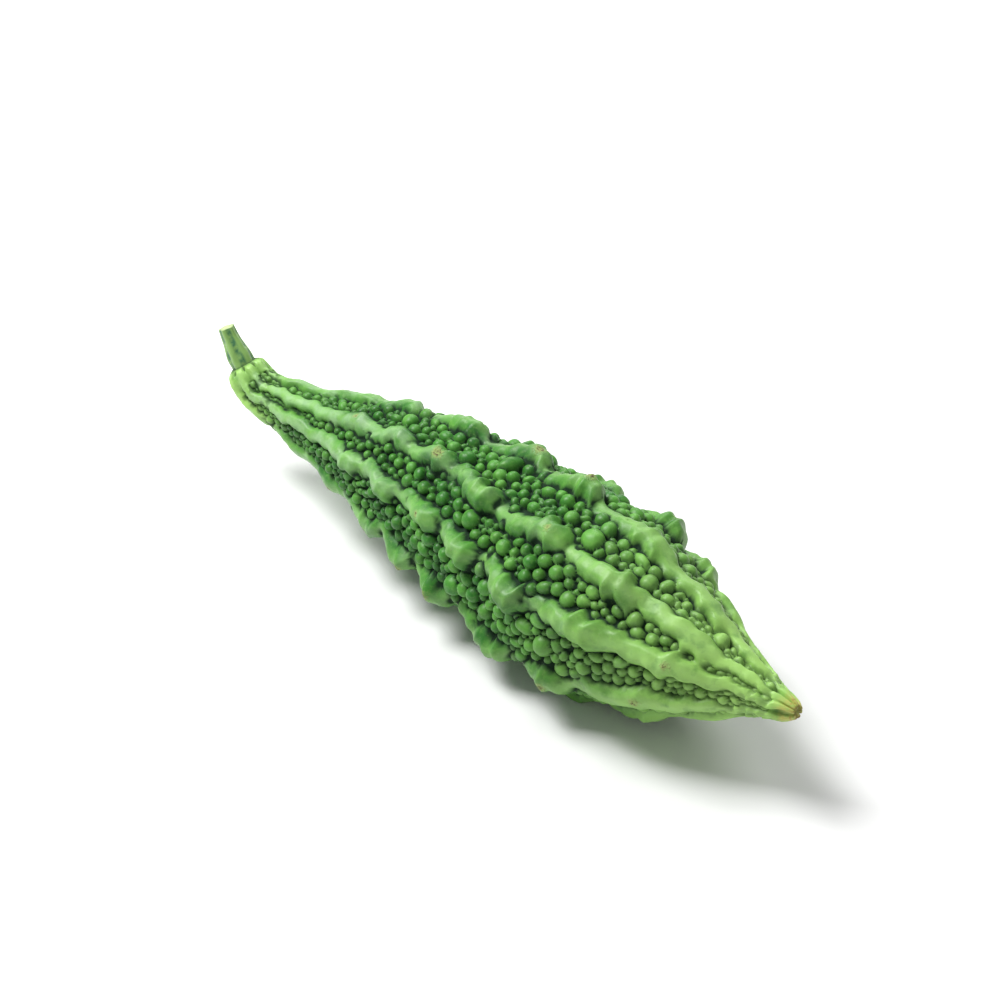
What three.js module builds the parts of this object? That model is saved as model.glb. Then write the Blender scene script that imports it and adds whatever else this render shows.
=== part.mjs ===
// A bitter gourd: a spindle-shaped green fruit with eight broken ridges and packed round warts, and the
// short stub of stem that it was cut with. It lies on its belly, with its neck and stem rising behind.
// Millimetres, +X from the stem end to the tip, +Z up. The origin is the middle of the flattened wart
// under the belly, on the surface that the fruit lies on.

import * as THREE from "three";
import { ConvexHull } from "three/addons/math/ConvexHull.js";

// Driving dimensions, in millimetres. A place along the fruit is a length along its bent axis.
const FRUIT_LENGTH = 200;
const BELLY_AT = 102; // the place that lies over the origin
const AXIS_HEIGHT = 23.1; // of the axis above the surface, at the belly
const RIDGE_COUNT = 8;
const SEED = 20;

// Curves along the fruit, as [place, value] knots.
const FLESH_RADIUS = [[0, 4.3], [3, 4.9], [12, 5.4], [20, 6.3], [30, 8.1], [41, 10.5], [53, 13.6], [72, 17],
  [91, 19], [112, 21], [134, 21.8], [148, 19.7], [160, 16.2], [172, 11.6], [184, 6.5], [194, 3.2], [198, 2.3],
  [200, 1.3]];
const AXIS_PITCH_DEG = [[0, -54], [3, -51], [8, -23], [14, -8], [26, -2], [60, -1], [108, 0], [135, 1.5],
  [200, 4]];
const AXIS_YAW_DEG = [[0, 7], [20, 5], [40, 2.7], [60, 0.3], [85, -3.6], [108, -6.5], [135, -7.2],
  [160, -3.5], [200, 1]];
const RIB_HEIGHT = [[0, 0.2], [8, 1.1], [30, 2.1], [50, 1.5], [70, 0.6], [140, 0.7], [158, 2.4], [172, 2.5],
  [186, 1.5], [196, 0.8], [200, 0.2]];
const RIDGE_HALF_WIDTH = [[0, 1.3], [12, 2.2], [30, 2.8], [60, 3], [100, 3.6], [140, 4], [165, 3.8],
  [185, 2.4], [200, 1]];
const WART_SCALE = [[0, 0.7], [20, 0.74], [45, 0.8], [75, 0.92], [105, 1.04], [145, 1.04], [170, 0.85],
  [190, 0.62], [200, 0.5]];
const TOOTH_HEIGHT = [[30, 1.6], [50, 3.4], [75, 5], [105, 6.2], [140, 6.2], [160, 4.4], [180, 2.4]];
const TOOTH_SCALE = [[0, 0.6], [80, 1], [200, 1]];

// How the ridges and their teeth vary, as [least, most].
const RIDGE_OFF_EVEN = [-0.11, 0.11]; // radians, except underneath
const RIDGE_SWAY = [0.04, 0.08]; // radians
const SWAY_LENGTH = [15, 23];
const FIRST_TOOTH_AT = [30, 40];
const TOOTH_LENGTH = [17, 28];
const TOOTH_STATURE = [0.78, 1.08];
const TOOTH_SLANT = [-2.1, 3.9];
const TOOTH_SWING = [-1.5, 1.5];
const TOOTH_SPACING = [0.84, 1.04]; // as a share of the tooth's length
const LAST_TOOTH_AT = 160;
const STATURE_UNDERNEATH = 0.93;
const TOOTH_LEAN = 2; // how strongly a tooth's height is bunched towards its far end
const TOOTH_BLUNTNESS = 0.6; // less is blunter
const CREST_SHARPNESS = 1.7; // less is sharper
const CREST_REACH = 4; // a crest's height over the flesh, for distances along its top

// Warts, largest first: radius range at the belly, and how many darts are thrown for them.
const WART_SIZES = [
  { smallest: 2.8, largest: 3.3, darts: 600 },
  { smallest: 2.4, largest: 2.8, darts: 6000 },
  { smallest: 2.1, largest: 2.4, darts: 8000 },
];
const WART_HEIGHT = 0.96; // as a share of its radius
const WART_CROWDING = 0.88; // nearest that two are thrown, as a share of both radii
const SETTLING_ROUNDS = 20;
const WART_ON_RIDGE = 0.5; // how much of its radius a wart may reach onto a ridge's foot
const HIGHEST_UNDER_WARTS = 1.5; // a lower crest carries warts
const REST_WART_RADIUS = 4;
const FIRST_WART_AT = 20;
const LAST_WART_AT = 190;

// Places of the net of points that the skin is drawn on.
const WART_RING_POINTS = 6;
const WART_RING_AT = 0.62; // as a share of the wart's radius
const WART_NEIGHBOURHOOD = 1.3; // warts nearer than this share of their radii have a crease between them
const REST_RING_AT = 0.5;
const RIDGE_STEP = 4.1;
const FLANK_AT = 0.5; // as a share of the ridge's half width
const CLOSEST_POINTS = 1;
const CLOSEST_ON_WART = 0.4;
const END_RING_SPACING = 1.8;
const VALLEY_SPACING = 1.35;
const VALLEY_DARTS = 9000;
const SKIN_THICKNESS = 1.5; // distances over the skin are measured this far above the flesh
const FARTHEST_LOOK = 9; // two places further apart than this along the fruit don't meet

// The socket in the neck, the stub of stem in it, and the scar of the flower at the tip.
const SOCKET_RADIUS = 3.9;
const SOCKET_DEPTH = 1.6;
const SOCKET_POINTS = 12;
const STEM_GAP = 0.3;
const STEM_LENGTH = 12.5;
const STEM_RADIUS = [[0, 3.5], [3, 3.5], [6, 3.15], [9, 2.6], [12.5, 2.3]];
const STEM_RIBS = 5;
const STEM_RIB_DEPTH = 0.09; // as a share of the stem's radius
const STEM_SIDES = 20;
const STEM_RINGS = 9;
const STEM_BEND_DEG = 12; // over its whole length
const SCAR_PIT_RADIUS = 0.9;
const SCAR_PIT_DEPTH = 0.8;
const SCAR_LIP = 0.3;

// Turns beyond the skin's last ring that the ends' own rings have on the ball that the skin is drawn on.
const LIP_TURN = 0.35;
const SOCKET_FLOOR_TURN = 0.9;
const POLE_TURN = 19; // so near the ball's pole that it stands for it

const RADIANS = Math.PI / 180;

// Repeatable random numbers from 0 to 1.
function seededRandom(seed) {
  const multiplier = 48271;
  const modulus = 2147483647;
  let state = seed;
  return () => {
    state = (state * multiplier) % modulus;
    return state / modulus;
  };
}

// A smooth curve through knots that never overshoots them (monotone cubic).
function curveThrough(knots) {
  const slopes = knots.slice(1).map(([x, y], i) => (y - knots[i][1]) / (x - knots[i][0]));
  const tangents = knots.map((_, i) => {
    if (i === 0 || i === slopes.length) return slopes[Math.min(i, slopes.length - 1)];
    const product = slopes[i - 1] * slopes[i];
    return product <= 0 ? 0 : (2 * product) / (slopes[i - 1] + slopes[i]);
  });
  return (x) => {
    let i = 0;
    while (i < knots.length - 2 && x > knots[i + 1][0]) i++;
    const [x0, y0] = knots[i];
    const [x1, y1] = knots[i + 1];
    const span = x1 - x0;
    const u = Math.min(1, Math.max(0, (x - x0) / span));
    const bulge = u * (1 - u) * span * (tangents[i] * (1 - u) - tangents[i + 1] * u);
    return y0 + (y1 - y0) * u * u * (3 - 2 * u) + bulge;
  };
}

const fleshRadius = curveThrough(FLESH_RADIUS);
const axisPitch = curveThrough(AXIS_PITCH_DEG);
const axisYaw = curveThrough(AXIS_YAW_DEG);
const ribHeight = curveThrough(RIB_HEIGHT);
const ridgeHalfWidth = curveThrough(RIDGE_HALF_WIDTH);
const wartScale = curveThrough(WART_SCALE);
const toothScale = curveThrough(TOOTH_SCALE);
const toothHeight = curveThrough(TOOTH_HEIGHT);
const stemRadius = curveThrough(STEM_RADIUS);

// The bent axis, walked from the belly both ways in steps of a millimetre.
function axisDirection(place) {
  const pitch = axisPitch(place) * RADIANS;
  const yaw = axisYaw(place) * RADIANS;
  return new THREE.Vector3(Math.cos(pitch) * Math.cos(yaw), Math.cos(pitch) * Math.sin(yaw), Math.sin(pitch));
}

function walkAxis() {
  const points = [];
  points[BELLY_AT] = new THREE.Vector3(0, 0, AXIS_HEIGHT);
  for (let s = BELLY_AT; s < FRUIT_LENGTH; s++) points[s + 1] = points[s].clone().add(axisDirection(s + 0.5));
  for (let s = BELLY_AT; s > 0; s--) points[s - 1] = points[s].clone().sub(axisDirection(s - 0.5));
  return points;
}

const axisPoints = walkAxis();

function axisPoint(place) {
  const i = Math.min(FRUIT_LENGTH - 1, Math.max(0, Math.floor(place)));
  return axisPoints[i].clone().addScaledVector(axisDirection((i + place) / 2), place - i);
}

// A point beside the axis. The angle is 0 under the fruit and a quarter turn at its +Y side.
function besideAxis(place, angle, distance) {
  const along = axisDirection(place);
  const side = new THREE.Vector3(-along.y, along.x, 0).normalize();
  const up = along.clone().cross(side);
  return axisPoint(place)
    .addScaledVector(up, -Math.cos(angle) * distance)
    .addScaledVector(side, Math.sin(angle) * distance);
}

const turnBetween = (from, to) => Math.atan2(Math.sin(to - from), Math.cos(to - from));

// Distance over the skin between two places, given as {place, angle}.
function skinDistance(a, b) {
  if (Math.abs(a.place - b.place) > FARTHEST_LOOK) return Infinity;
  const radius = fleshRadius((a.place + b.place) / 2) + SKIN_THICKNESS;
  return Math.hypot(a.place - b.place, turnBetween(a.angle, b.angle) * radius);
}

// The crests of the ridges. Each ridge has a low rib from end to end, and a row of leaning teeth over it.
function makeCrests(random) {
  const draw = ([least, most]) => least + (most - least) * random();
  return Array.from({ length: RIDGE_COUNT }, (_, k) => {
    const underneath = k === 0 || k === RIDGE_COUNT - 1;
    const middle = ((k + 0.5) * 2 * Math.PI) / RIDGE_COUNT + (underneath ? 0 : draw(RIDGE_OFF_EVEN));
    const ridge = { middle, sway: draw(RIDGE_SWAY), wavelength: draw(SWAY_LENGTH) };
    const crests = [{ ...ridge, start: 0, length: FRUIT_LENGTH }];
    let start = draw(FIRST_TOOTH_AT);
    while (start < LAST_TOOTH_AT) {
      const length = draw(TOOTH_LENGTH) * toothScale(start);
      const stature = draw(TOOTH_STATURE) * (underneath ? STATURE_UNDERNEATH : 1);
      const slant = draw(TOOTH_SLANT);
      const swing = draw(TOOTH_SWING);
      crests.push({ ...ridge, start, length, stature, slant, swing });
      start += length * draw(TOOTH_SPACING);
    }
    return crests;
  }).flat();
}

// How far along a tooth a place is, from 0 to 1, bunched so that the crest is highest near its far end.
const alongTooth = (tooth, place) => Math.min(1, (place - tooth.start) / tooth.length) ** TOOTH_LEAN;

function crestHeight(crest, place) {
  if (!crest.stature) return ribHeight(place);
  return crest.stature * toothHeight(place) * Math.sin(Math.PI * alongTooth(crest, place)) ** TOOTH_BLUNTNESS;
}

function crestAngle(crest, place) {
  const sway = crest.sway * Math.sin((place - BELLY_AT) / crest.wavelength);
  if (!crest.stature) return crest.middle + sway;
  const share = (place - crest.start) / crest.length;
  const aside = crest.slant * (share - 0.5) + crest.swing * Math.sin(2 * Math.PI * share);
  return crest.middle + sway + aside / (fleshRadius(place) + CREST_REACH);
}

const isOn = (crest, place) => place >= crest.start && place <= crest.start + crest.length;

// Height of the ridges over the flesh at a place: each crest's section is a rounded gable.
function ridgeHeight(crests, { place, angle }) {
  const heights = crests.filter((crest) => isOn(crest, place)).map((crest) => {
    const apart = skinDistance({ place, angle }, { place, angle: crestAngle(crest, place) });
    const aside = apart / ridgeHalfWidth(place);
    return aside < 1 ? crestHeight(crest, place) * (1 - aside ** CREST_SHARPNESS) : 0;
  });
  return Math.max(...heights);
}

// Whether a wart of this radius would stand on a crest that is too high to carry warts.
function standsOnCrest(crests, { place, angle, radius }) {
  return crests.some((crest) => {
    if (!isOn(crest, place) || crestHeight(crest, place) < HIGHEST_UNDER_WARTS) return false;
    const aside = skinDistance({ place, angle }, { place, angle: crestAngle(crest, place) });
    return aside < ridgeHalfWidth(place) + (1 - WART_ON_RIDGE) * radius;
  });
}

// Round warts, thrown like darts between the ridges, largest first, so that they pack the skin.
function makeWarts(crests, random) {
  const warts = [{ place: BELLY_AT, angle: 0, radius: REST_WART_RADIUS, ringAt: REST_RING_AT }];
  for (const size of WART_SIZES) {
    for (let dart = 0; dart < size.darts; dart++) {
      const place = FIRST_WART_AT + (LAST_WART_AT - FIRST_WART_AT) * random();
      const angle = 2 * Math.PI * random();
      const radius = (size.smallest + (size.largest - size.smallest) * random()) * wartScale(place);
      const wart = { place, angle, radius, ringAt: WART_RING_AT };
      const crowds = (other) => skinDistance(wart, other) < WART_CROWDING * (radius + other.radius);
      if (!warts.some(crowds) && !standsOnCrest(crests, wart)) warts.push(wart);
    }
  }
  for (let round = 0; round < SETTLING_ROUNDS; round++) settleWarts(warts, crests);
  return warts;
}

// Lets each wart but the first push off the ones that crowd it, where that doesn't put it on a crest.
function settleWarts(warts, crests) {
  for (const wart of warts.slice(1)) {
    let { place, angle } = wart;
    for (const other of warts) {
      const apart = skinDistance(wart, other);
      const overlap = wart.radius + other.radius - apart;
      if (other === wart || overlap <= 0) continue;
      const push = overlap / 2 / Math.max(apart, 0.1);
      place += push * (wart.place - other.place);
      angle += push * turnBetween(other.angle, wart.angle);
    }
    place = Math.min(LAST_WART_AT, Math.max(FIRST_WART_AT, place));
    if (!standsOnCrest(crests, { place, angle, radius: wart.radius })) Object.assign(wart, { place, angle });
  }
}

function wartHeight(wart, spot) {
  const aside = skinDistance(wart, spot) / wart.radius;
  return aside < 1 ? WART_HEIGHT * wart.radius * Math.sqrt(1 - aside * aside) : 0;
}

// The net of points over the skin. A point is refused where it would crowd another.
function makeNet(crests, warts, random) {
  const net = [];
  const add = (place, angle, gap) => {
    const spot = { place, angle };
    const scaledGap = gap * Math.max(0.5, wartScale(place));
    if (place < 0 || place > FRUIT_LENGTH) return;
    if (!net.some((other) => skinDistance(spot, other) < scaledGap)) net.push(spot);
  };
  const roomAt = (spot) => Math.min(...warts.map((wart) => skinDistance(spot, wart) - wart.radius));

  for (const wart of warts) {
    const turn = 2 * Math.PI * random();
    const reach = wart.ringAt * wart.radius;
    add(wart.place, wart.angle, 0);
    for (let i = 0; i < WART_RING_POINTS; i++) {
      const around = turn + (2 * Math.PI * i) / WART_RING_POINTS;
      const angle = wart.angle + (reach * Math.sin(around)) / (fleshRadius(wart.place) + SKIN_THICKNESS);
      add(wart.place + reach * Math.cos(around), angle, CLOSEST_ON_WART);
    }
  }
  warts.forEach((wart, i) => warts.slice(0, i).forEach((other) => {
    const share = wart.radius / (wart.radius + other.radius);
    if (skinDistance(wart, other) > WART_NEIGHBOURHOOD * (wart.radius + other.radius)) return;
    add(wart.place + share * (other.place - wart.place),
      wart.angle + share * turnBetween(wart.angle, other.angle), CLOSEST_POINTS);
  }));
  for (const crest of [...crests].sort((a, b) => a.length - b.length)) {
    const step = RIDGE_STEP * wartScale(crest.start + crest.length / 2);
    const steps = Math.ceil(crest.length / step);
    for (let i = 0; i <= steps; i++) {
      const place = crest.start + (crest.length * i) / steps;
      const angle = crestAngle(crest, place);
      const halfTurn = ridgeHalfWidth(place) / (fleshRadius(place) + SKIN_THICKNESS);
      if (crestHeight(crest, place) < ridgeHeight(crests, { place, angle })) continue;
      add(place, angle, CLOSEST_POINTS);
      for (const side of [-1, 1]) {
        if (ridgeHalfWidth(place) > 2) add(place, angle + side * FLANK_AT * halfTurn, CLOSEST_POINTS);
        add(place, angle + side * halfTurn, CLOSEST_POINTS);
      }
    }
  }
  for (const place of [0, FRUIT_LENGTH]) {
    for (let i = 0; i < 2 * RIDGE_COUNT; i++) {
      add(place, (Math.PI * (i + 0.5)) / RIDGE_COUNT, END_RING_SPACING);
    }
  }
  const darts = Array.from({ length: VALLEY_DARTS }, () => {
    const spot = { place: FRUIT_LENGTH * random(), angle: 2 * Math.PI * random() };
    return { ...spot, room: roomAt(spot) };
  });
  for (const dart of darts.sort((a, b) => b.room - a.room)) {
    if (dart.room > 0 && ridgeHeight(crests, dart) === 0) add(dart.place, dart.angle, VALLEY_SPACING);
  }
  return net;
}

// Turns, on each millimetre of the axis, that keep small circles round when the skin is drawn on a ball.
function walkBall() {
  const turns = [0];
  for (let s = 0; s < FRUIT_LENGTH; s++) turns.push(turns[s] + 1 / (fleshRadius(s + 0.5) + SKIN_THICKNESS));
  return turns.map((turn) => turn - turns[BELLY_AT]);
}

// The fruit: the net, its heights, and the two closed ends, joined by the triangles that the same
// points have as the convex hull of a ball.
function fruitGeometry() {
  const random = seededRandom(SEED);
  const crests = makeCrests(random);
  const warts = makeWarts(crests, random);
  const net = makeNet(crests, warts, random);
  const turns = walkBall();
  const ballPoints = [];
  const positions = [];
  const add = (turn, angle, point) => {
    const girth = 1 / Math.cosh(turn);
    ballPoints.push(new THREE.Vector3(Math.tanh(turn), Math.sin(angle) * girth, -Math.cos(angle) * girth));
    positions.push(point.x, point.y, Math.max(0, point.z));
  };

  for (const spot of net) {
    const i = Math.min(FRUIT_LENGTH - 1, Math.floor(spot.place));
    const turn = turns[i] + (turns[i + 1] - turns[i]) * (spot.place - i);
    const near = warts.map((wart) => wartHeight(wart, spot));
    const height = Math.max(ridgeHeight(crests, spot), ...near);
    add(turn, spot.angle, besideAxis(spot.place, spot.angle, fleshRadius(spot.place) + height));
  }
  const addRing = (turn, place, radius) => {
    for (let i = 0; i < SOCKET_POINTS; i++) {
      const angle = ((i + 0.5) * 2 * Math.PI) / SOCKET_POINTS;
      add(turn, angle, besideAxis(place, angle, radius));
    }
  };
  addRing(turns[0] - LIP_TURN, 0, SOCKET_RADIUS);
  addRing(turns[0] - SOCKET_FLOOR_TURN, SOCKET_DEPTH, SOCKET_RADIUS);
  add(-POLE_TURN, 0, axisPoint(SOCKET_DEPTH));
  addRing(turns[FRUIT_LENGTH] + LIP_TURN, FRUIT_LENGTH - SCAR_LIP, SCAR_PIT_RADIUS);
  add(POLE_TURN, 0, axisPoint(FRUIT_LENGTH - SCAR_PIT_DEPTH));

  const numberOf = new Map(ballPoints.map((point, i) => [point, i]));
  const index = new ConvexHull().setFromPoints(ballPoints).faces.flatMap((face) =>
    [0, 1, 2].map((corner) => numberOf.get(face.getEdge(corner).head().point)));
  const geometry = new THREE.BufferGeometry();
  geometry.setAttribute("position", new THREE.Float32BufferAttribute(positions, 3));
  geometry.setIndex(index);
  geometry.computeVertexNormals();
  return geometry;
}

// The stem: a ribbed, tapering stub that curves up out of the socket, cut flat at its end.
function stemGeometry() {
  const positions = [];
  const start = SOCKET_DEPTH - STEM_GAP;
  const along = axisDirection(0).negate();
  const side = new THREE.Vector3(-along.y, along.x, 0).normalize();
  const point = axisPoint(start);
  const step = STEM_LENGTH / (STEM_RINGS - 1);
  const centres = [];
  for (let ring = 0; ring < STEM_RINGS; ring++) {
    const up = along.clone().cross(side);
    const radius = stemRadius(ring * step);
    for (let i = 0; i < STEM_SIDES; i++) {
      const angle = (2 * Math.PI * i) / STEM_SIDES;
      const reach = radius * (1 - STEM_RIB_DEPTH + STEM_RIB_DEPTH * Math.cos(STEM_RIBS * angle));
      const rim = point.clone()
        .addScaledVector(up, Math.cos(angle) * reach)
        .addScaledVector(side, Math.sin(angle) * reach);
      positions.push(...rim);
    }
    centres.push(point.clone());
    along.applyAxisAngle(side, (-STEM_BEND_DEG * RADIANS) / STEM_RINGS);
    point.addScaledVector(along, step);
  }
  positions.push(...centres[0], ...centres[STEM_RINGS - 1]);

  const index = [];
  const first = STEM_RINGS * STEM_SIDES;
  const lastRing = (STEM_RINGS - 1) * STEM_SIDES;
  for (let i = 0; i < STEM_SIDES; i++) {
    const next = (i + 1) % STEM_SIDES;
    index.push(first, i, next, first + 1, lastRing + next, lastRing + i);
    for (let ring = 0; ring < STEM_RINGS - 1; ring++) {
      const a = ring * STEM_SIDES + i;
      const b = ring * STEM_SIDES + next;
      index.push(a, a + STEM_SIDES, b, b, a + STEM_SIDES, b + STEM_SIDES);
    }
  }
  const geometry = new THREE.BufferGeometry();
  geometry.setAttribute("position", new THREE.Float32BufferAttribute(positions, 3));
  geometry.setIndex(index);
  geometry.computeVertexNormals();
  return geometry;
}

function namedMesh(name, geometry, color, roughness) {
  const mesh = new THREE.Mesh(geometry, new THREE.MeshStandardMaterial({ color, roughness, metalness: 0 }));
  mesh.name = name;
  return mesh;
}

const gourd = new THREE.Group();
gourd.add(namedMesh("fruit", fruitGeometry(), 0x4f9444, 0.42));
gourd.add(namedMesh("stem", stemGeometry(), 0x86b75a, 0.55));

export default gourd;
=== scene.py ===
"""The looks of a bitter gourd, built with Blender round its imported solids.

The skin grows as the fruit's does. A bent spindle of flesh carries eight ridges, which break into leaning
teeth along the belly, and round warts crowd the valleys between them. How far each of them stands out is
worked out on a fine grid of places and angles, and a Geometry Nodes tree raises the skin from that grid.

The gourd's own sizes are in millimetres, and a place along it is a length along its bent axis from the stem
end. Meshes, lights, the camera and the finishes are in metres, as Blender's are.
"""

from __future__ import annotations

import logging
import math
from collections.abc import Iterator
from dataclasses import dataclass, field
from enum import Enum

import bpy
import numpy as np
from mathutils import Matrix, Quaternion, Vector, noise

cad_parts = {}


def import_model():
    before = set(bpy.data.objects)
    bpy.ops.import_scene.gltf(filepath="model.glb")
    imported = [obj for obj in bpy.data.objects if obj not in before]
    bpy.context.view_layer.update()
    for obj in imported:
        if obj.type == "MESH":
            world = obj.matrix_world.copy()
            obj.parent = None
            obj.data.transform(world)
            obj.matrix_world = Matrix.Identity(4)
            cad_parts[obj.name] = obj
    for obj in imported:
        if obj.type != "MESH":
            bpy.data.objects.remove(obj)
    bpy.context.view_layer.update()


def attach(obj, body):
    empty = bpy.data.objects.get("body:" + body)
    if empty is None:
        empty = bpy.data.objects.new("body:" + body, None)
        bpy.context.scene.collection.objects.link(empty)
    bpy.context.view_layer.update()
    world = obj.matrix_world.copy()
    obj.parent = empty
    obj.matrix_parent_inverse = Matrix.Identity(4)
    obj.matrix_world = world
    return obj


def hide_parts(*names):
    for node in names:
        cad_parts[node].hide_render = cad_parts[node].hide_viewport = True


log = logging.getLogger("bitter_gourd")

MM = 0.001
TURN = 2 * math.pi
BODY = "root"

Array = np.ndarray
Mesh = bpy.types.Mesh
Object = bpy.types.Object
Socket = bpy.types.NodeSocket
Colour = tuple[float, float, float, float]
Limits = tuple[float, float]
Inputs = dict[int | str, object]


class Slot(Enum):
    """The record's material slots."""

    SKIN = "skin"
    STALK = "stalk"


def seeded_random(seed: int) -> Iterator[float]:
    """Yields repeatable random numbers from 0 to 1.

    Args:
        seed: A whole number that the sequence starts from.

    Returns:
        An endless iterator over the numbers.
    """
    multiplier = 48271
    modulus = 2147483647
    while True:
        seed = seed * multiplier % modulus
        yield seed / modulus


def part_way(limits: Limits, share: float) -> float:
    """Gives the number that lies a share of the way between two limits."""
    return limits[0] + (limits[1] - limits[0]) * share


def strays(random: np.random.Generator, most: float, shape: int | tuple[int, int]) -> Array:
    """Draws numbers that stray either way from 0, by up to the most."""
    return random.uniform(-most, most, shape)


def ramp(value: Array, low: float, high: float) -> Array:
    """Gives how far along from low to high values are, from 0 to 1."""
    return np.clip((value - low) / (high - low), 0, 1)


def wave(place: Array, length: float, phase: Array | float, pace: float = 1.0) -> Array:
    """Gives the height of a wave along the fruit, from -1 to 1."""
    return np.sin(pace * TURN * place / length + phase)


def bell(off: Array, width: float) -> Array:
    """Gives how near to 0 numbers are: 1 there, and falling away on both sides over the width."""
    return np.exp(-((off / width) ** 2))


def melted(first: Array, second: Array, width: Array | float) -> Array:
    """Gives the larger of two numbers, with a smooth change over where they are nearly the same."""
    return (first + second + np.hypot(first - second, width)) / 2


def unit(vectors: Array) -> Array:
    """Scales each row of an array of vectors to length one."""
    return vectors / np.linalg.norm(vectors, axis=-1, keepdims=True)


def turn_between(start: Array | float, end: Array | float) -> Array:
    """Gives the shorter turn from one angle to another, from minus half a turn to half a turn."""
    return np.arctan2(np.sin(end - start), np.cos(end - start))


class Curve:
    """A smooth curve through knots that never overshoots them (monotone cubic)."""

    def __init__(self, *knots: Limits) -> None:
        """Keeps the knots and works out the slope at each.

        Args:
            knots: The (place, value) pairs, in order of place.
        """
        self.places, self.values = np.array(knots, float).T
        slopes = np.diff(self.values) / np.diff(self.places)
        product = slopes[:-1] * slopes[1:]
        total = slopes[:-1] + slopes[1:]
        inner = np.where(product > 0, 2 * product / np.where(total == 0, 1, total), 0)
        self.slopes = np.concatenate((slopes[:1], inner, slopes[-1:]))

    def __call__(self, place: Array | float) -> Array:
        """Reads the curve.

        Args:
            place: Where to read it. Beyond the ends, the end values hold.

        Returns:
            The value or values there.
        """
        i = np.clip(np.searchsorted(self.places, place) - 1, 0, len(self.places) - 2)
        span = self.places[i + 1] - self.places[i]
        u = np.clip((place - self.places[i]) / span, 0, 1)
        bulge = u * (1 - u) * span * (self.slopes[i] * (1 - u) - self.slopes[i + 1] * u)
        return self.values[i] + (self.values[i + 1] - self.values[i]) * u * u * (3 - 2 * u) + bulge


@dataclass
class GourdForm:
    """The fruit's bent axis and the thickness of its flesh, in millimetres.

    Its methods take arrays of places along the axis and of angles round it, and give one number or vector for
    each. The angle is 0 underneath and a quarter turn at the +Y side.
    """

    length: int = 200
    belly_at: int = 102
    axis_height: float = 23.1
    skin_thickness: float = 1.5
    farthest_ahead: float = 0.6
    flesh_radius: Curve = Curve(
        (0, 4.3), (3, 4.9), (12, 5.4), (20, 6.3), (30, 8.1), (41, 10.5), (53, 13.6), (72, 17), (91, 19),
        (112, 21), (134, 21.8), (148, 19.7), (160, 16.2), (172, 11.6), (184, 6.5), (194, 3.2), (198, 2.3),
        (200, 1.3),
    )
    pitch_deg: Curve = Curve(
        (0, -54), (3, -51), (8, -23), (14, -8), (26, -2), (60, -1), (108, 0), (135, 1.5), (200, 4),
    )
    yaw_deg: Curve = Curve(
        (0, 7), (20, 5), (40, 2.7), (60, 0.3), (85, -3.6), (108, -6.5), (135, -7.2), (160, -3.5), (200, 1),
    )
    points: Array = field(init=False)

    def __post_init__(self) -> None:
        """Walks the axis in steps of a millimetre, with the belly over the origin."""
        steps = self.direction(np.arange(self.length) + 0.5)
        points = np.vstack((np.zeros(3), np.cumsum(steps, axis=0)))
        self.points = points - points[self.belly_at] + np.array((0, 0, self.axis_height))

    def direction(self, place: Array) -> Array:
        """Gives the axis's direction, towards the tip."""
        pitch, yaw = np.radians(self.pitch_deg(place)), np.radians(self.yaw_deg(place))
        return np.stack((np.cos(pitch) * np.cos(yaw), np.cos(pitch) * np.sin(yaw), np.sin(pitch)), axis=-1)

    def axis_point(self, place: Array) -> Array:
        """Gives points on the axis."""
        i = np.clip(np.floor(place).astype(int), 0, self.length - 1)
        return self.points[i] + self.direction((i + place) / 2) * (place - i)[..., None]

    def outward(self, place: Array, angle: Array) -> Array:
        """Gives directions square to the axis.

        Args:
            place: The places along the axis.
            angle: The angles round it.

        Returns:
            One direction for each place.
        """
        along = self.direction(place)
        side = unit(np.stack((-along[..., 1], along[..., 0], np.zeros_like(along[..., 0])), axis=-1))
        return np.sin(angle)[..., None] * side - np.cos(angle)[..., None] * np.cross(along, side)

    def beside_axis(self, place: Array, angle: Array, distance: Array) -> Array:
        """Gives points at a distance from the axis."""
        return self.axis_point(place) + self.outward(place, angle) * distance[..., None]

    def locate(self, spots: Array) -> tuple[Array, Array, Array]:
        """Finds where points lie on the fruit.

        Args:
            spots: The points, one a row.

        Returns:
            Each one's place along the axis, angle round it and distance from it.
        """
        squares = (self.points**2).sum(axis=1) - 2 * spots @ self.points.T
        nearest = squares.argmin(axis=1).astype(float)
        ahead = ((spots - self.axis_point(nearest)) * self.direction(nearest)).sum(axis=1)
        place = nearest + np.clip(ahead, -self.farthest_ahead, self.farthest_ahead)
        place = np.clip(place, 0, self.length)
        off = spots - self.axis_point(place)
        beside = (off * self.outward(place, np.full_like(place, TURN / 4))).sum(axis=1)
        below = (off * self.outward(place, np.zeros_like(place))).sum(axis=1)
        return place, np.arctan2(beside, below), np.hypot(beside, below)

    def girth_radius(self, place: Array) -> Array:
        """Gives the radius that distances round the skin are measured at."""
        return self.flesh_radius(place) + self.skin_thickness


@dataclass(frozen=True)
class Crest:
    """One crest of a ridge: its low rib from end to end, or a tooth that leans towards the tip."""

    middle: float
    sway: float
    wavelength: float
    start: float
    length: float
    stature: float = 0.0
    slant: float = 0.0
    swing: float = 0.0
    lean: float = 2.5

    def share(self, place: Array) -> Array:
        """Says how far along the crest places are, from 0 to 1."""
        return np.clip((place - self.start) / self.length, 0, 1)

    def covers(self, place: Array) -> Array:
        """Says which places the crest runs past."""
        return (place >= self.start) & (place <= self.start + self.length)

    @property
    def top(self) -> float:
        """The place where a tooth is highest."""
        return self.start + self.length * 0.5 ** (1 / self.lean)


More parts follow.
